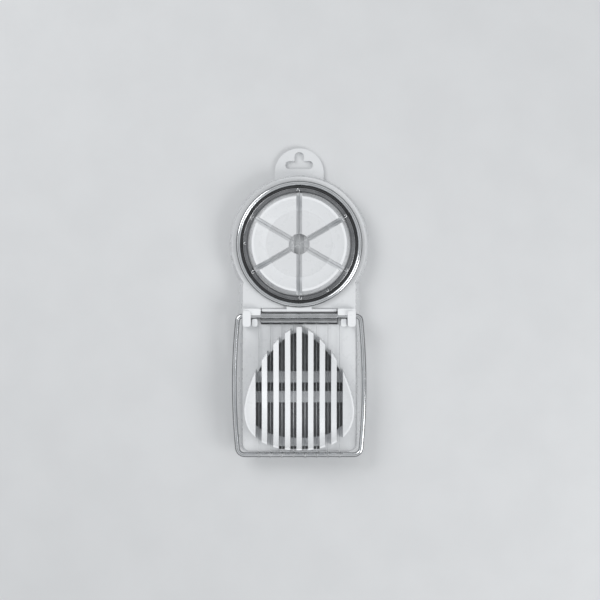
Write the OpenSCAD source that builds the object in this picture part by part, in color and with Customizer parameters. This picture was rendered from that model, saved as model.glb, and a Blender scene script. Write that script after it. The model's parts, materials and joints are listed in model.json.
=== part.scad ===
// Two-in-one egg tool: a wire slicer in front and a round six-way wedger behind, on one moulded body.
// Millimetres, +Z up, +Y from the slicer towards the hang tab.
// The origin is the middle of the part's box, on the resting plane.
// Every "y" below is counted from the slicer's hinge axis, and at_axis() moves it into place.

/* [Overall layout] */
// Hinge axis to the front bar's centre line
frame_len = 87.4; // [86:0.1:90]
// Hinge axis to the centre of the wedger ring
ring_y = 45.3; // [45:0.1:47]
// Hinge axis to the outer end of the hang tab
tab_reach = 106.7; // [105:0.1:110]
// Height of the body's flat top above the resting plane
top_z = 12; // [10:0.5:16]
// Wall thickness of the moulded body
wall = 2; // [1.6:0.1:2.4]

/* [Body] */
// Half width of the slicer end at its top
tray_half_w = 35.6; // [35:0.1:36]
// Half width of the slicer end at its foot
foot_half_w = 38.7; // [37:0.1:39]
// Radius of the round wedger end at its top
flange_r = 42.6; // [42:0.1:43]
// Radius of the round wedger end at its foot
flange_foot_r = 44.4; // [44:0.1:45]
// Radius of the hang tab
tab_r = 15.6; // [15:0.1:16]
// Thickness of the hang tab
tab_t = 2.4; // [2:0.1:3]

/* [Egg holder] */
// Largest half width of the holder's outer wall
holder_half_w = 35; // [34:0.1:35.2]
// Height of the holder's rim above the body's top
holder_h = 14.5; // [14:0.5:16]
// Depth of the bowl below the rim
bowl_depth = 11.5; // [10.5:0.5:12]
// How much smaller the holder's outline is at its rim than at its foot
holder_taper = 0.98; // [0.95:0.005:0.99]
// Distance between neighbouring wires
wire_pitch = 7.25; // [7:0.05:7.3]
// Width of the slots that the wires sink into
slot_w = 3.85; // [3.6:0.05:4]

/* [Wedger pedestal] */
// Outer radius of the pedestal at its foot
pedestal_r = 32.1; // [31.5:0.1:32.1]
// Height of the pedestal's rim above the body's top
pedestal_h = 9.6; // [8.6:0.1:9.6]
// Radius of the flat bowl bottom
pedestal_floor_r = 20.8; // [19:0.1:22]
// Width of the six radial slots
spoke_slot_w = 3.5; // [3.4:0.05:3.8]
// Radius of the round hole in the middle
hub_r = 6.5; // [6:0.1:7]

/* [Steel parts] */
// Radius of the frame rods
rod_r = 1.5; // [1.4:0.05:1.5]
// Radius of the cutting wires
wire_r = 0.2; // [0.18:0.01:0.25]
// Largest half width of the slicer frame, to the rod's centre line
frame_half_w = 40.9; // [40.8:0.05:41.3]
// Angle at which the frame's sides lean out from the hinge
bow_angle = 4.3; // [3.5:0.1:5]
// Radius of the wedger ring, to the rod's centre line
ring_r = 38.4; // [38.3:0.05:38.6]

/* [Hidden] */
$fn = 64;
eps = 0.01;

plastic = "white";
steel = "lightsteelblue";

wrap_r = rod_r + wire_r + 0.01;                  // the turns of wire round the front bar
axis_y = -(tab_reach - frame_len - wrap_r - wire_r) / 2;   // hinge axis in the part's frame
wire_z = top_z + 2;                              // plane of both frames when closed
slicing_wires = 8;

// Slicer frame: each side leans out, runs straight at its widest and leans in again
hinge_bend_r = 3.2;
corner_r = 4.5;
bend_rise = (hinge_bend_r + corner_r) * (1 - sin(bow_angle));
side_len = (frame_len - bend_rise) / (1 + 2 * cos(bow_angle));
side_bow = side_len * sin(bow_angle);
axle_half = frame_half_w - side_bow - hinge_bend_r * cos(bow_angle);
front_half = frame_half_w - side_bow - corner_r * cos(bow_angle);
knuckle_r = rod_r + 0.02;                        // the slightly proud ball at each change of heading

// Slicer hinge lugs, and the strip between them
bore_gap = 0.05;
lug_in = 30.4;
lug_out = axle_half - 0.1;
lug_h = 6;
lug_front = -6.7;
strip_half = 23.9;
strip_t = 0.6;
hem_y = -3.4;
hem_r = 1;

// Wedger hinge
pin_y = 3.5;
pin_z = top_z + 0.6;
pin_r = 0.6;
barrel_r = 1.2;
barrel_half = 23.5;
pin_lug_in = 24.2;
pin_lug_h = 4.2;
pin_half = 29.2;

// Egg outline: pointed end, widest place, blunt end
egg_tip = -5.6;
egg_wide = -57.7;
egg_front = -84.2;
rim_w = 1.2;
opening_half_w = 32.4;
opening_tip = -10.2;
opening_wide = -55;
opening_front = -77;
slat_drop = 4;
channel_floor = top_z - 2.6;
spoke_floor = top_z + 1.5;
bowl_floor = 4;                                  // above the body's top

// Band inside the wedger ring
band_in = pedestal_r + 0.6;
band_out = ring_r - rod_r;
band_end = band_out + 0.5;
band_t = 0.6;
hook_r = 0.7;
hook_at = band_in + 1.4;
spokes = [90, 30, 150];

// Half width of an egg outline at y
function egg_half(y, tip, wide, front, w) =
    y > wide ? w * pow(max(0, 1 - pow((y - wide) / (tip - wide), 1.5)), 0.64)
             : w * pow(max(0, 1 - pow((wide - y) / (wide - front), 2.5)), 0.45);

// Place along the egg for a = -90 (blunt end) to 90 (pointed end), closer together at both ends
function egg_y(a, tip, wide, front) = wide + (a < 0 ? wide - front : tip - wide) * sin(a);

module egg_outline(tip, wide, front, w) {
    step = 7.5;
    right = [for (a = [-90:step:90]) let (y = egg_y(a, tip, wide, front))
             [egg_half(y, tip, wide, front, w), y]];
    left = [for (i = [len(right) - 2:-1:1]) [-right[i][0], right[i][1]]];
    polygon(concat(right, left));
}

module at_axis() { translate([0, axis_y, 0]) children(); }

// Places its children at the wedger ring's centre
module at_ring() { at_axis() translate([0, ring_y, 0]) children(); }

// A round bar along X from x0 to x1
module bar_x(x0, x1, y, z, r) { translate([x0, y, z]) rotate([0, 90, 0]) cylinder(r = r, h = x1 - x0); }

module both_sides() { children(); mirror([1, 0, 0]) children(); }

// A box with round upright corners
module round_block(x0, x1, y0, y1, z0, z1, r) {
    translate([0, 0, z0]) linear_extrude(z1 - z0) {
        translate([x0 + r, y0]) square([x1 - x0 - 2 * r, y1 - y0]);
        translate([x0, y0 + r]) square([x1 - x0, y1 - y0 - 2 * r]);
        for (x = [x0 + r, x1 - r], y = [y0 + r, y1 - r]) translate([x, y]) circle(r = r);
    }
}

// ---- Body -------------------------------------------------------------------------------------------

// The slicer end's block with flared sides; inset shrinks it for the hollow
module tray_block(inset, z1) {
    r = 5 - inset;
    flare = foot_half_w - tray_half_w;
    back = 24;
    front = -(frame_len - 2);
    hull() for (x = [-1, 1]) {
        translate([x * (tray_half_w - inset - r), front + inset + r, 0])
            cylinder(r1 = r + flare / 2, r2 = r, h = z1, $fn = 32);
        translate([x * (tray_half_w - inset - r), back - r, 0])
            cylinder(r1 = r + flare / 2, r2 = r, h = z1, $fn = 32);
        translate([x * (foot_half_w - inset - r), front + inset + r, 0]) cylinder(r = r, h = eps, $fn = 32);
        translate([x * (foot_half_w - inset - r), back - r, 0]) cylinder(r = r, h = eps, $fn = 32);
    }
}

module tray() {
    difference() {
        union() {
            tray_block(0, top_z);
            translate([0, ring_y, 0]) cylinder(r1 = flange_foot_r, r2 = flange_r, h = top_z, $fn = 128);
        }
        translate([0, 0, -eps]) tray_block(wall, top_z - wall + eps);
        translate([0, ring_y, -eps])
            cylinder(r1 = flange_foot_r - wall, r2 = flange_r - wall, h = top_z - wall + eps, $fn = 128);
        egg_window();
        strip_window();
        wire_notches();
        bar_x(-pin_lug_in, pin_lug_in, pin_y, pin_z, barrel_r + 0.3);
    }
}

// The opening under the slats
module egg_window() {
    translate([0, 0, -eps]) linear_extrude(top_z + 2 * eps)
        egg_outline(opening_tip, opening_wide, opening_front, opening_half_w);
}

// The opening that the rolled strip turns in
module strip_window() {
    side_gap = 0.4;
    front = hem_y - hem_r - 0.8;
    back = rod_r + strip_t + 0.2;
    translate([-strip_half - side_gap, front, -eps])
        cube([2 * (strip_half + side_gap), back - front, top_z + 1]);
}

// Small notches through the top at the blunt end of the four middle slots
module wire_notches() {
    notch_len = 1.8;
    for (i = [2:5])
        translate([wire_x(i) - slot_w / 2, egg_front + 0.3, -eps]) cube([slot_w, notch_len, top_z + 1]);
}

function wire_x(i) = (i - (slicing_wires - 1) / 2) * wire_pitch;

// The deep channel below the wedger's middle wire, wider at the hub; grow widens it on every side
module channel(z0, grow) {
    hub_half = 3.15;
    slot_half = spoke_slot_w / 2;
    reach = pedestal_r - 3;
    hub_reach = hub_r - 0.9;
    for (size = [[slot_half, reach], [hub_half, hub_reach]])
        translate([-size[0] - grow, ring_y - size[1] - grow, z0])
            cube([2 * (size[0] + grow), 2 * (size[1] + grow), top_z + 1 - z0]);
}

// Trough below the flat top that the channel is cut into
module channel_walls() {
    intersection() {
        channel(channel_floor - wall, wall - eps);
        translate([-10, ring_y - 40, 0]) cube([20, 80, top_z - eps]);
    }
}

// A place along the egg drawn in towards its widest place by the taper, as at the rim
function at_rim(y) = egg_wide + (y - egg_wide) * holder_taper;

// The bowl's surface is an arc across and follows the egg outline along, so it meets the rim all round
module egg_bowl() {
    w = holder_half_w * holder_taper - rim_w;
    tip = at_rim(egg_tip) - rim_w;
    front = at_rim(egg_front) + rim_w;
    centre_h = (w * w - bowl_depth * bowl_depth) / (2 * bowl_depth);
    overlap = 0.2;
    step = 7.5;
    arc = [for (a = [-90:step:90]) let (y = egg_y(a, tip, egg_wide, front))
           [sqrt(pow(egg_half(y, tip, egg_wide, front, w), 2) + pow(centre_h, 2)), y]];
    translate([0, 0, top_z + holder_h + centre_h - overlap]) rotate([-90, 0, 0])
        rotate_extrude($fn = 128) polygon(concat([[0, front]], arc, [[0, tip]]));
}

// The holder's raised wall, leaning inwards to its rim
module holder_wall() {
    translate([0, egg_wide, top_z - eps]) linear_extrude(holder_h + eps, scale = holder_taper)
        translate([0, -egg_wide]) egg_outline(egg_tip, egg_wide, egg_front, holder_half_w);
}

module egg_holder() {
    slot_top = slat_drop + holder_h + 2;
    difference() {
        union() {
            holder_wall();
            translate([0, 0, top_z - slat_drop]) linear_extrude(slat_drop)
                egg_outline(opening_tip, opening_wide, opening_front, opening_half_w);
        }
        egg_bowl();
        for (i = [0:slicing_wires - 1])
            translate([wire_x(i) - slot_w / 2, -100, top_z - slat_drop - 1]) cube([slot_w, 100, slot_top]);
    }
    cross_ribs();
}

// Two flat ribs that tie the slats together below the wires
module cross_ribs() {
    rib_half = 29;
    rib_w = 7.2;
    rib_h = 2.6;
    for (y = [-42, -54.6])
        translate([-rib_half, y, top_z - slat_drop]) cube([2 * rib_half, rib_w, rib_h]);
}

module pedestal() {
    rim_out = pedestal_r - 2.2;
    rim_in = rim_out - 1.5;
    profile = [[hub_r, -eps], [pedestal_r, -eps], [pedestal_r, 1.5], [rim_out, pedestal_h],
               [rim_in, pedestal_h], [pedestal_floor_r, bowl_floor], [hub_r, bowl_floor]];
    difference() {
        translate([0, ring_y, top_z]) rotate_extrude($fn = 128) polygon(profile);
        for (a = spokes) translate([0, ring_y, spoke_floor]) rotate([0, 0, a])
            translate([-40, -spoke_slot_w / 2, 0]) cube([80, spoke_slot_w, pedestal_h]);
    }
}

// Hollows under the six sectors, so that the moulding keeps an even wall
module pedestal_pockets() {
    translate([0, ring_y, -eps]) linear_extrude(top_z + bowl_floor - wall + eps) difference() {
        circle(r = pedestal_r - wall - 0.8);
        circle(r = hub_r + wall);
        for (a = spokes) rotate(a) square([2 * pedestal_r, spoke_slot_w + 2 * wall], center = true);
    }
}

// Lugs with the bores for the slicer's axle and the wedger's pin, and the low stops in front of the axle
module hinge_lugs() {
    lug_back = 3.3;
    stop_in = 26.3;
    stop_h = 2.4;
    both_sides() {
        round_block(lug_in, lug_out, lug_front, lug_back, top_z - eps, top_z + lug_h, 1.6);
        round_block(pin_lug_in, lug_out, 0.4, pin_y + barrel_r, top_z - eps, top_z + pin_lug_h, 1);
        round_block(stop_in, lug_in - 0.6, lug_front, -rod_r - 0.25, top_z - eps, top_z + stop_h, 1);
    }
}

module hang_tab() {
    tab_y = tab_reach - tab_r;
    difference() {
        union() {
            translate([0, tab_y, 0]) cylinder(r = tab_r, h = tab_t);
            translate([-tab_r, tab_y - 8, 0]) cube([2 * tab_r, 8, tab_t]);
        }
        translate([0, ring_y, -eps]) cylinder(r = flange_r - 1, h = tab_t + 1);
        translate([0, 0, -1]) linear_extrude(tab_t + 2) hang_hole();
    }
}

// T-shaped hole for a hook
module hang_hole() {
    bar_y = tab_reach - 10.7;
    bar_h = 5;
    bar_half = 8.8;
    translate([-bar_half + bar_h / 2, bar_y - bar_h / 2]) square([2 * bar_half - bar_h, bar_h]);
    for (s = [-1, 1]) translate([s * (bar_half - bar_h / 2), bar_y]) circle(d = bar_h);
    translate([-3, bar_y]) square([6, 5.2]);
    translate([0, bar_y + 5.2]) circle(r = 3);
}

module base() {
    color(plastic) at_axis() difference() {
        union() {
            tray();
            egg_holder();
            pedestal();
            hinge_lugs();
            channel_walls();
            hang_tab();
        }
        pedestal_pockets();
        channel(channel_floor, 0);
        bar_x(-50, 50, 0, wire_z, rod_r + bore_gap);
        bar_x(-pin_half - 0.2, pin_half + 0.2, pin_y, pin_z, pin_r + 0.02);
    }
}

module wedger_hinge_pin() { color(steel) at_axis() bar_x(-pin_half, pin_half, pin_y, pin_z, pin_r); }

// ---- Slicer frame -----------------------------------------------------------------------------------

// A bend of the frame rod round [x, y], from angle a0 through sweep
module rod_bend(x, y, r, a0, sweep) {
    translate([x, y, wire_z]) rotate([0, 0, a0])
        rotate_extrude(angle = sweep) translate([r, 0]) circle(r = rod_r, $fn = 48);
}

// One length of a side from [x, y, wire_z], heading the given angle outwards
module side_length(x, y, heading) {
    translate([x, y, wire_z]) rotate([90, 0, heading]) cylinder(r = rod_r, h = side_len, $fn = 48);
}

module slicer_frame_rod() {
    x0 = frame_half_w - side_bow;
    y0 = -hinge_bend_r * (1 - sin(bow_angle));
    y1 = y0 - side_len * cos(bow_angle);
    y2 = y1 - side_len;
    y3 = y2 - side_len * cos(bow_angle);
    color(steel) at_axis() both_sides() {
        bar_x(0, axle_half, 0, wire_z, rod_r, $fn = 48);
        bar_x(0, front_half, -frame_len, wire_z, rod_r, $fn = 48);
        rod_bend(axle_half, -hinge_bend_r, hinge_bend_r, bow_angle, 90 - bow_angle);
        rod_bend(front_half, corner_r - frame_len, corner_r, -90, 90 - bow_angle);
        side_length(x0, y0, bow_angle);
        side_length(frame_half_w, y1, 0);
        side_length(frame_half_w, y2, -bow_angle);
        for (joint = [[frame_half_w, y1], [frame_half_w, y2], [x0, y3]])
            translate([joint[0], joint[1], wire_z]) sphere(r = knuckle_r, $fn = 48);
    }
}

module wire_anchor_strip() {
    color(steel) at_axis() difference() {
        union() {
            bar_x(-strip_half, strip_half, 0, wire_z, rod_r + strip_t);
            bar_x(-strip_half, strip_half, hem_y, wire_z, hem_r);
            translate([-strip_half, hem_y, wire_z - strip_t / 2]) cube([2 * strip_half, -hem_y, strip_t]);
        }
        bar_x(-strip_half - 1, strip_half + 1, 0, wire_z, rod_r);
        for (i = [0:slicing_wires - 1]) translate([wire_x(i), hem_y - 0.4, wire_z]) rotate([90, 0, 0])
            cylinder(r = wire_r + 0.05, h = 2, $fn = 24);
    }
}

module slicing_wire(i) {
    from_y = hem_y - 0.5;
    color(steel) at_axis() translate([wire_x(i), from_y, wire_z]) rotate([90, 0, 0])
        cylinder(r = wire_r, h = frame_len - rod_r - 0.03 + from_y, $fn = 24);
}

// Two turns of wire round the front bar at each cutting wire
module wire_wraps() {
    color(steel) at_axis() for (i = [0:slicing_wires - 1], s = [-1, 1])
        translate([wire_x(i) + s * (2 * wire_r + 0.03), -frame_len, wire_z]) rotate([0, 90, 0])
            rotate_extrude($fn = 48) translate([wrap_r, 0]) circle(r = wire_r, $fn = 16);
}

// ---- Wedger frame -----------------------------------------------------------------------------------

module wedger_ring_rod() {
    color(steel) at_ring() translate([0, 0, wire_z])
        rotate_extrude($fn = 128) translate([ring_r, 0]) circle(r = rod_r, $fn = 48);
}

// Pressed band: sloping inner lip, flat, rolled bead, and a step down to the rod's underside
module wedger_wire_band() {
    bead_r = 0.4;
    band_z = wire_z - 0.3;
    step_h = 0.8;
    top = [[band_in, -0.7], [band_in + 0.8, 0], [band_out - 1.7, 0],
           [band_out - 1.2, -step_h], [band_end, -step_h]];
    bottom = [for (i = [len(top) - 1:-1:0]) [top[i][0], top[i][1] - band_t]];
    color(steel) at_ring() difference() {
        translate([0, 0, band_z]) rotate_extrude($fn = 128) {
            polygon(concat(top, bottom));
            translate([band_out - 1.8, 0]) circle(r = bead_r, $fn = 24);
        }
        for (a = spokes, half = [0, 180], s = [-1, 1]) rotate([0, 0, a + half])
            translate([hook_at + s * hook_r, 0, wire_z - 3]) cylinder(r = wire_r + 0.1, h = 4, $fn = 24);
    }
}

// The three wires lie across each other, so each is a little higher than the last
module wedging_wire(i) {
    reach = hook_at - hook_r - wire_r - 0.03;
    color(steel) at_ring() rotate([0, 0, spokes[i]])
        translate([-reach, 0, wire_z - 0.05 + i * (2 * wire_r + 0.05)]) rotate([0, 90, 0])
            cylinder(r = wire_r, h = 2 * reach, $fn = 24);
}

module wedger_wire_hooks() {
    color(steel) at_ring() for (a = spokes, half = [0, 180]) rotate([0, 0, a + half])
        translate([hook_at, 0, wire_z - 0.6]) rotate([90, 0, 0])
            rotate_extrude($fn = 32) translate([hook_r, 0]) circle(r = wire_r, $fn = 16);
}

// Turns on the wedger's pin; a saddle in the middle holds the ring
module wedger_hinge_barrel() {
    saddle_half = 8;
    saddle_end = ring_y - band_end - 0.1;
    saddle_z = top_z + 0.3;
    color(plastic) at_axis() difference() {
        union() {
            bar_x(-barrel_half, barrel_half, pin_y, pin_z, barrel_r);
            translate([-saddle_half, pin_y, saddle_z])
                cube([2 * saddle_half, saddle_end - pin_y, pin_z + barrel_r - saddle_z]);
        }
        bar_x(-barrel_half - 1, barrel_half + 1, pin_y, pin_z, pin_r + bore_gap);
        translate([0, ring_y, wire_z])
            rotate_extrude($fn = 128) translate([ring_r, 0]) circle(r = rod_r, $fn = 48);
    }
}

base();
wedger_hinge_pin();
slicer_frame_rod();
wire_anchor_strip();
slicing_wire(0);  // slicing_wire_1
slicing_wire(1);  // slicing_wire_2
slicing_wire(2);  // slicing_wire_3
slicing_wire(3);  // slicing_wire_4
slicing_wire(4);  // slicing_wire_5
slicing_wire(5);  // slicing_wire_6
slicing_wire(6);  // slicing_wire_7
slicing_wire(7);  // slicing_wire_8
wire_wraps();
wedger_ring_rod();
wedger_wire_band();
wedging_wire(0);  // wedging_wire_1
wedging_wire(1);  // wedging_wire_2
wedging_wire(2);  // wedging_wire_3
wedger_wire_hooks();
wedger_hinge_barrel();
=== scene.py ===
import json
import math

import bmesh
import bpy
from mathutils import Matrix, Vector


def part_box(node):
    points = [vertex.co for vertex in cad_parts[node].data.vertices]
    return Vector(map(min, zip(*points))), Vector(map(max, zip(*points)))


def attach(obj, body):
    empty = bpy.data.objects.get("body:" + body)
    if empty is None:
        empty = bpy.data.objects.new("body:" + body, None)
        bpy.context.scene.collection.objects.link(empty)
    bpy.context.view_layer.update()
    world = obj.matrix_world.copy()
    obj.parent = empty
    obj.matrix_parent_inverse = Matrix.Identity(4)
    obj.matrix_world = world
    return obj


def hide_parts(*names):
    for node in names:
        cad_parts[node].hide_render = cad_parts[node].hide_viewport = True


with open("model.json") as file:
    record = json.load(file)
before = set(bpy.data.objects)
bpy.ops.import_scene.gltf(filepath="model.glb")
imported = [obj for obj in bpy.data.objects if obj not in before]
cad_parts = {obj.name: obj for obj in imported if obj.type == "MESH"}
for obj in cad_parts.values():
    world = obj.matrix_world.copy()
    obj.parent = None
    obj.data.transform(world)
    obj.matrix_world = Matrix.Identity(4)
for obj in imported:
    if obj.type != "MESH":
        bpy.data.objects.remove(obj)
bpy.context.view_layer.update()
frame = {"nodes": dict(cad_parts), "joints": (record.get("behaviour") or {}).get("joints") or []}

# A two-in-one egg slicer, seen from straight above on a pale table. Metres, in the CAD frame:
# +Y runs from the slicer end to the hang tab, +Z up, origin under the middle of the part.

MM = 0.001
ROD_R = 1.5 * MM
WIRE_R = 0.2 * MM
JOINTS = {joint["name"]: joint for joint in frame["joints"]}
SLICER_AXIS = Vector(JOINTS["slicer_frame_hinge"]["pos_m"])
WIRE_NODES = [f"slicing_wire_{i}" for i in range(1, 9)]

# Directions on the wedger ring, in degrees from +X
WEDGING_WIRE_ANGLES = {"wedging_wire_1": 90, "wedging_wire_2": 30, "wedging_wire_3": 150}
TIED_END_ANGLES = (178, 300)

# Where a noise texture's values mostly lie, for a value that it varies and for a color
NOISE_SPAN = (0.3, 0.7)
TINT_SPAN = (0.35, 0.65)


def middle(node):
    low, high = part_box(node)
    return (low + high) / 2


# ---- Node material helpers ---------------------------------------------------------------------------

class Shader:
    """One procedural material, with its Principled shader and short calls for the usual nodes."""

    def __init__(self, name, color, metallic, roughness):
        self.material = bpy.data.materials.new(name)
        self.material.use_nodes = True
        self.material.diffuse_color = (*color, 1)
        self.tree = self.material.node_tree
        self.bsdf = self.tree.nodes["Principled BSDF"]
        self.bsdf.inputs["Base Color"].default_value = (*color, 1)
        self.bsdf.inputs["Metallic"].default_value = metallic
        self.bsdf.inputs["Roughness"].default_value = roughness
        coordinates = self.node("ShaderNodeTexCoord")
        self.place = coordinates.outputs["Object"]
        self.facing = coordinates.outputs["Normal"]

    def node(self, kind, **settings):
        made = self.tree.nodes.new(kind)
        for key, value in settings.items():
            setattr(made, key, value)
        return made

    def link(self, source, target):
        self.tree.links.new(source, target)

    def noise(self, scale, detail, stretch=(1, 1, 1)):
        mapping = self.node("ShaderNodeMapping")
        mapping.inputs["Scale"].default_value = stretch
        self.link(self.place, mapping.inputs["Vector"])
        noise = self.node("ShaderNodeTexNoise")
        noise.inputs["Scale"].default_value = scale
        noise.inputs["Detail"].default_value = detail
        self.link(mapping.outputs["Vector"], noise.inputs["Vector"])
        return noise.outputs["Fac"]

    def spread(self, factor, low, high, span=NOISE_SPAN):
        """Goes from low to high as the factor goes across the span."""
        ranged = self.node("ShaderNodeMapRange")
        ranged.inputs["From Min"].default_value = span[0]
        ranged.inputs["From Max"].default_value = span[1]
        ranged.inputs["To Min"].default_value = low
        ranged.inputs["To Max"].default_value = high
        self.link(factor, ranged.inputs["Value"])
        return ranged.outputs["Result"]

    def tint(self, factor, first, second, span=TINT_SPAN):
        """Colors the surface from the first color to the second as the factor goes across the span."""
        ramp = self.node("ShaderNodeValToRGB")
        for element, at, color in zip(ramp.color_ramp.elements, span, (first, second)):
            element.position = at
            element.color = (*color, 1)
        self.link(factor, ramp.inputs["Fac"])
        self.link(ramp.outputs["Color"], self.bsdf.inputs["Base Color"])
        self.color = ramp.outputs["Color"]

    def dim(self, amount):
        """Scales the color that tint set by a value between 0 and 1."""
        scaled = self.node("ShaderNodeVectorMath", operation="SCALE")
        self.link(self.color, scaled.inputs[0])
        self.link(amount, scaled.inputs["Scale"])
        self.color = scaled.outputs["Vector"]
        self.link(self.color, self.bsdf.inputs["Base Color"])

    def z_of(self, vector):
        split = self.node("ShaderNodeSeparateXYZ")
        self.link(vector, split.inputs["Vector"])
        return split.outputs["Z"]

    def upright(self):
        """0 on faces that look sideways, 1 on those that look straight up or down."""
        size = self.node("ShaderNodeMath", operation="ABSOLUTE")
        self.link(self.z_of(self.facing), size.inputs[0])
        return size.outputs["Value"]

    def distance_from_axis(self, centre):
        """Distance from the upright line through centre."""
        flat = self.node("ShaderNodeMapping")
        flat.inputs["Location"].default_value = (-centre.x, -centre.y, 0)
        flat.inputs["Scale"].default_value = (1, 1, 0)
        self.link(self.place, flat.inputs["Vector"])
        length = self.node("ShaderNodeVectorMath", operation="LENGTH")
        self.link(flat.outputs["Vector"], length.inputs[0])
        return length.outputs["Value"]

    def rough(self, value):
        self.link(value, self.bsdf.inputs["Roughness"])

    def bump(self, height, distance, strength, edge=0.0):
        """Bump from a height, over edges that are rounded off by the given radius."""
        bump = self.node("ShaderNodeBump")
        bump.inputs["Strength"].default_value = strength
        bump.inputs["Distance"].default_value = distance
        self.link(height, bump.inputs["Height"])
        if edge:
            bevel = self.node("ShaderNodeBevel", samples=6)
            bevel.inputs["Radius"].default_value = edge
            self.link(bevel.outputs["Normal"], bump.inputs["Normal"])
        self.link(bump.outputs["Normal"], self.bsdf.inputs["Normal"])


# ---- Materials --------------------------------------------------------------------------------------

def white_plastic():
    """Glossy moulding, a little greyer with painted shade up to its flat top and inside the dish's bottom.
    """
    flat_top_to_raised = (12.3 * MM, 14.5 * MM)
    dish_bottom_to_wall = (20.5 * MM, 21.3 * MM)
    shader = Shader("white_plastic", (0.80, 0.815, 0.83), metallic=0.0, roughness=0.3)
    shader.tint(shader.noise(60, 2), (0.828, 0.842, 0.857), (0.838, 0.853, 0.868), span=(0.2, 0.8))
    # Painted shade: greyer towards the low flat top
    shader.dim(shader.spread(shader.z_of(shader.place), 0.86, 1.0, flat_top_to_raised))
    from_ring_axis = shader.distance_from_axis(middle("wedger_ring_rod"))
    # Painted shade: greyer inside the dish's bottom
    shader.dim(shader.spread(from_ring_axis, 0.82, 1.0, dish_bottom_to_wall))
    shader.rough(shader.spread(shader.noise(220, 5), 0.24, 0.36))
    shader.bump(shader.noise(2600, 3), distance=0.02 * MM, strength=0.5, edge=0.4 * MM)
    shader.bsdf.inputs["IOR"].default_value = 1.46
    return shader.material


def polished_rod():
    """Bright bar with painted dark reflections, darker where it faces sideways."""
    shader = Shader("polished_rod", (0.66, 0.675, 0.69), metallic=1.0, roughness=0.1)
    shader.tint(shader.noise(90, 4), (0.62, 0.635, 0.65), (0.72, 0.735, 0.75))
    # Painted dark reflections on the sides
    shader.dim(shader.spread(shader.upright(), 0.32, 1.0, span=(0.5, 0.8)))
    shader.rough(shader.spread(shader.noise(500, 6), 0.06, 0.16))
    shader.bump(shader.noise(4000, 2, stretch=(1, 0.2, 1)), distance=0.01 * MM, strength=0.4)
    return shader.material


def sheet_finish_and_painted_side_shade(shader):
    """The surface that both sheet steels share, with painted shade that makes it darker where it faces
    sideways.
    """
    # Painted shade on the faces that look sideways
    shader.dim(shader.spread(shader.upright(), 0.5, 1.0, span=(0.5, 0.9)))
    shader.rough(shader.spread(shader.noise(600, 6), 0.14, 0.28))
    shader.bump(shader.noise(3000, 3), distance=0.01 * MM, strength=0.5, edge=0.2 * MM)


def strip_steel():
    """The rolled strip round the slicer frame's axle."""
    shader = Shader("rolled_strip_steel", (0.50, 0.51, 0.52), metallic=1.0, roughness=0.22)
    shader.tint(shader.noise(120, 4), (0.50, 0.51, 0.52), (0.60, 0.61, 0.62))
    sheet_finish_and_painted_side_shade(shader)
    return shader.material


def band_steel():
    """The ring's pressed band, with painted shade that makes it darkest in the groove next to the rod."""
    flat_to_groove = (35.3 * MM, 35.8 * MM)
    shader = Shader("ring_band_steel", (0.28, 0.285, 0.295), metallic=1.0, roughness=0.22)
    shader.tint(shader.noise(120, 4), (0.28, 0.285, 0.295), (0.38, 0.385, 0.395))
    from_ring_axis = shader.distance_from_axis(middle("wedger_ring_rod"))
    # Painted shade in the groove next to the rod
    shader.dim(shader.spread(from_ring_axis, 1.0, 0.3, flat_to_groove))
    sheet_finish_and_painted_side_shade(shader)
    return shader.material


def drawn_wire(name, dark, light):
    shader = Shader(name, dark, metallic=0.9, roughness=0.35)
    shader.tint(shader.noise(300, 3), dark, light)
    shader.rough(shader.spread(shader.noise(900, 3), 0.3, 0.45))
    shader.bump(shader.noise(6000, 2, stretch=(1, 0.1, 1)), distance=0.004 * MM, strength=0.5)
    return shader.material


def pale_table():
    shader = Shader("pale_table", (0.66, 0.67, 0.68), metallic=0.0, roughness=0.6)
    shader.tint(shader.noise(30, 3), (0.65, 0.66, 0.67), (0.67, 0.68, 0.69))
    shader.rough(shader.spread(shader.noise(200, 4), 0.5, 0.7))
    shader.bump(shader.noise(1500, 4), distance=0.03 * MM, strength=0.4)
    return shader.material


PLASTIC = white_plastic()
ROD = polished_rod()
STRIP = strip_steel()
BAND = band_steel()
WIRE = drawn_wire("drawn_wire", (0.54, 0.55, 0.56), (0.64, 0.65, 0.66))
# A lighter copy of the drawn wire: a painted glint on the hooked wire ends
GLINT_PAINTED_WIRE = drawn_wire("wire_ends_painted_glint", (0.84, 0.85, 0.86), (0.94, 0.95, 0.96))

# The other nodes are wire, or are replaced further down
LOOKS = {
    "base": PLASTIC,
    "wedger_hinge_barrel": PLASTIC,
    "wedger_ring_rod": ROD,
    "wire_anchor_strip": STRIP,
    "wedger_hinge_pin": STRIP,
    "wedger_wire_band": BAND,
}


def dress_cad_nodes():
    for name, node in frame["nodes"].items():
        node.data.materials.clear()
        node.data.materials.append(LOOKS.get(name, WIRE))


# ---- Mesh helpers -----------------------------------------------------------------------------------

def new_piece(name, bm, material):
    """Makes a smooth-shaded object from the bmesh and frees it."""
    mesh = bpy.data.meshes.new(name)
    bm.to_mesh(mesh)
    bm.free()
    for polygon in mesh.polygons:
        polygon.use_smooth = True
    mesh.materials.append(material)
    piece = bpy.data.objects.new(name, mesh)
    bpy.context.scene.collection.objects.link(piece)
    return piece


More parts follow.
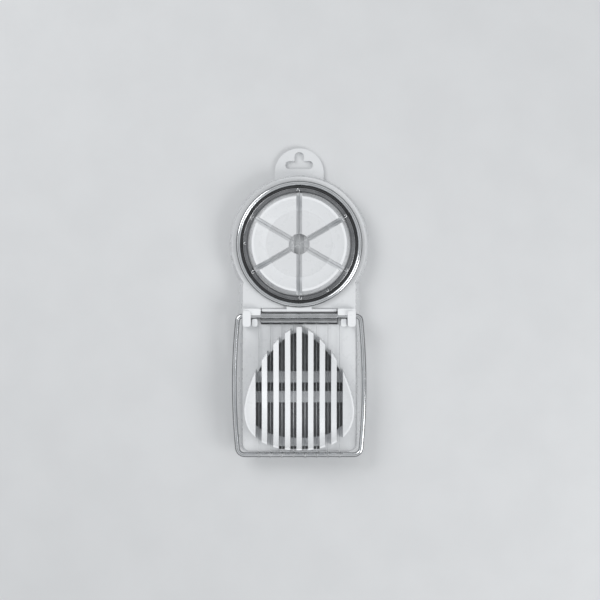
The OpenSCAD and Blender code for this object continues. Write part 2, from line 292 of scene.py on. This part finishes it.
def sweep(bm, path, radius, sides, closed=False):
    """Adds a round tube along the path's points, with flat end caps where it is open."""
    count = len(path)
    rings = []
    side = None
    for i, point in enumerate(path):
        ahead = path[(i + 1) % count] if closed or i < count - 1 else point
        behind = path[i - 1] if closed or i > 0 else point
        tangent = (ahead - behind).normalized()
        if side is None:
            side = tangent.orthogonal().normalized()
        side = (side - tangent * side.dot(tangent)).normalized()
        other = tangent.cross(side)
        ring = []
        for k in range(sides):
            turn = 2 * math.pi * k / sides
            ring.append(bm.verts.new(point + radius * (math.cos(turn) * side + math.sin(turn) * other)))
        rings.append(ring)
    pairs = list(zip(rings, rings[1:]))
    if closed:
        pairs.append((rings[-1], rings[0]))
    for a, b in pairs:
        for k in range(sides):
            n = (k + 1) % sides
            bm.faces.new((a[k], a[n], b[n], b[k]))
    if not closed:
        bm.faces.new(list(reversed(rings[0])))
        bm.faces.new(rings[-1])


# ---- Slicer frame -----------------------------------------------------------------------------------

def frame_rod_path(half_w, front_y, back_y, lean, corner_r, hinge_r, z):
    """The closed loop of the frame rod's centre line, one even bow along each side.

    Each side leans in by the same angle at both of its ends.
    """
    hinge_steps, side_steps, corner_steps = 12, 40, 14
    same_point = 1e-7
    span = back_y - front_y
    side_rise = span - (corner_r + hinge_r) * (1 - math.sin(lean))
    side_r = side_rise / (2 * math.sin(lean))
    side_x = half_w - side_r * (1 - math.cos(lean))
    half = []

    def arc(cx, cy, r, start, end, steps):
        for i in range(steps + 1):
            turn = start + (end - start) * i / steps
            half.append((cx + r * math.cos(turn), cy + r * math.sin(turn)))

    quarter = math.pi / 2
    arc(side_x - hinge_r * math.cos(lean), back_y - hinge_r, hinge_r, quarter, lean, hinge_steps)
    mid_y = back_y - hinge_r * (1 - math.sin(lean)) - side_r * math.sin(lean)
    arc(half_w - side_r, mid_y, side_r, lean, -lean, side_steps)
    arc(side_x - corner_r * math.cos(lean), front_y + corner_r, corner_r, -lean, -quarter, corner_steps)
    points = half + [(-x, y) for x, y in reversed(half)]
    clean = [points[0]]
    for p in points[1:]:
        if math.dist(p, clean[-1]) > same_point:
            clean.append(p)
    return [Vector((x, y, z)) for x, y in clean]


def build_frame_rod():
    lean = math.radians(5.6)
    corner_r = 4.5 * MM
    hinge_r = 3.2 * MM
    # Both keep the tube inside the box of the rod that it replaces
    side_gap = 0.02 * MM
    skin = 0.002 * MM
    low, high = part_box("slicer_frame_rod")
    half_w = high.x - ROD_R - side_gap
    front_y = low.y + ROD_R
    path = frame_rod_path(half_w, front_y, SLICER_AXIS.y, lean, corner_r, hinge_r, SLICER_AXIS.z)
    bm = bmesh.new()
    sweep(bm, path, ROD_R - skin, sides=28, closed=True)
    piece = new_piece("slicer_frame_rod_bent", bm, ROD)
    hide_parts("slicer_frame_rod")
    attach(piece, "slicer_frame")


# ---- Wire ends --------------------------------------------------------------------------------------

def build_wraps():
    """Each cutting wire's end is wound three times round the front bar."""
    turns = 3
    steps_per_turn = 28
    pitch = 0.41 * MM
    # Keeps the turns inside the box of the wraps that they replace
    skin = 0.004 * MM
    low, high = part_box("wire_wraps")
    bar_y = (low.y + high.y) / 2
    turn_r = (high.z - low.z) / 2 - WIRE_R - skin
    bm = bmesh.new()
    for node in WIRE_NODES:
        x = middle(node).x
        path = []
        for k in range(turns * steps_per_turn + 1):
            turn = 2 * math.pi * k / steps_per_turn
            along = pitch * (k / steps_per_turn - turns / 2)
            y = bar_y + turn_r * math.cos(turn)
            z = SLICER_AXIS.z + turn_r * math.sin(turn)
            path.append(Vector((x + along, y, z)))
        sweep(bm, path, WIRE_R, sides=10)
    piece = new_piece("wire_windings", bm, WIRE)
    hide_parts("wire_wraps")
    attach(piece, "slicer_frame")


def smooth(points):
    """A Catmull-Rom curve through the points."""
    steps = 6
    padded = [points[0], *points, points[-1]]
    curve = []
    for p0, p1, p2, p3 in zip(padded, padded[1:], padded[2:], padded[3:]):
        for k in range(steps):
            t = k / steps
            curve.append(0.5 * (2 * p1 + (p2 - p0) * t + (2 * p0 - 5 * p1 + 4 * p2 - p3) * t * t
                                + (3 * p1 - p0 - 3 * p2 + p3) * t * t * t))
    curve.append(points[-1])
    return curve


def hook_points(start_z, turn_z, foot_z):
    """One wire end from the wire outwards, round a turn that lies on the band, and down through it.

    Each point is (distance from the ring's axis, sideways, height) in millimetres.
    """
    wire_end, turn_at, turn_r = 33.15, 34.2, 0.7
    rise_at, bend_at, foot_at = turn_at - 0.5, turn_at - 0.6, turn_at - 0.8
    bend_drop = 0.2
    turn_steps = 6
    points = [(wire_end, 0, start_z), (rise_at, 0, (start_z + turn_z) / 2)]
    for step in range(turn_steps + 1):
        turn = math.pi * (step / turn_steps - 0.5)
        points.append((turn_at + turn_r * math.cos(turn), turn_r * (1 + math.sin(turn)), turn_z))
    points += [(bend_at, 2 * turn_r, turn_z - bend_drop), (foot_at, 2 * turn_r, foot_z)]
    return points


def build_hooks():
    """Hooked wire ends on the band: one at each end of the three wires, and two tied-off ends."""
    ring = middle("wedger_ring_rod")
    turn_z, foot_z = 14.25, 12.9
    ends = []
    for node, angle in WEDGING_WIRE_ANGLES.items():
        height = middle(node).z / MM
        ends += [(angle, height), (angle + 180, height)]
    ends += [(angle, foot_z) for angle in TIED_END_ANGLES]
    bm = bmesh.new()
    for angle, start_z in ends:
        outwards = Vector((math.cos(math.radians(angle)), math.sin(math.radians(angle)), 0))
        across = Vector((-outwards.y, outwards.x, 0))
        path = [Vector((ring.x, ring.y, z * MM)) + outwards * (r * MM) + across * (side * MM)
                for r, side, z in hook_points(start_z, turn_z, foot_z)]
        sweep(bm, smooth(path), WIRE_R, sides=12)
    # The hooked ends take the lighter wire copy, a painted glint
    piece = new_piece("wedger_hooked_ends", bm, GLINT_PAINTED_WIRE)
    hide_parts("wedger_wire_hooks")
    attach(piece, "wedger_frame")


# ---- Stage ------------------------------------------------------------------------------------------

def build_floor():
    bm = bmesh.new()
    bmesh.ops.create_grid(bm, x_segments=8, y_segments=8, size=3.0)
    floor = new_piece("floor", bm, pale_table())


def area_light(name, place, size, power):
    """A round light that points at the origin."""
    data = bpy.data.lights.new(name, "AREA")
    data.shape = "DISK"
    data.size = size
    data.energy = power
    light = bpy.data.objects.new(name, data)
    light.location = place
    light.rotation_euler = (-Vector(place)).to_track_quat("-Z", "Y").to_euler()
    bpy.context.scene.collection.objects.link(light)


def build_lights():
    """Two lights under a dome that is dark at its foot, so round steel shows light with dark edge lines."""
    # Each stop is (upward part of the direction, brightness)
    stops = ((0.08, 0.02), (0.36, 0.14), (0.50, 0.80), (0.80, 0.80), (0.99, 0.46))
    red, green = 0.97, 0.985
    world = bpy.data.worlds.new("studio")
    world.use_nodes = True
    tree = world.node_tree
    background = tree.nodes["Background"]
    place = tree.nodes.new("ShaderNodeTexCoord")
    split = tree.nodes.new("ShaderNodeSeparateXYZ")
    ramp = tree.nodes.new("ShaderNodeValToRGB")
    while len(ramp.color_ramp.elements) < len(stops):
        ramp.color_ramp.elements.new(0.5)
    for element, (at, level) in zip(ramp.color_ramp.elements, stops):
        element.position = at
        element.color = (level * red, level * green, level, 1)
    tree.links.new(place.outputs["Generated"], split.inputs["Vector"])
    tree.links.new(split.outputs["Z"], ramp.inputs["Fac"])
    tree.links.new(ramp.outputs["Color"], background.inputs["Color"])
    background.inputs["Strength"].default_value = 1.0
    bpy.context.scene.world = world
    area_light("key", place=(-0.55, 0.45, 0.75), size=0.6, power=3.2)
    area_light("fill", place=(0.65, -0.35, 0.6), size=0.5, power=3.0)


def build_camera():
    """Straight above, far enough for the raised walls to lean out only a little."""
    target = Vector((0.5 * MM, 1.4 * MM, SLICER_AXIS.z))
    distance = 1.15
    width_seen = 0.378
    data = bpy.data.cameras.new("camera")
    data.sensor_width = 36
    data.lens = data.sensor_width * distance / width_seen
    camera = bpy.data.objects.new("camera", data)
    camera.location = target + Vector((0, 0, distance))
    bpy.context.scene.collection.objects.link(camera)
    bpy.context.scene.camera = camera


dress_cad_nodes()
build_frame_rod()
build_wraps()
build_hooks()
build_floor()
build_lights()
build_camera()
bpy.context.scene.view_settings.view_transform = "Standard"
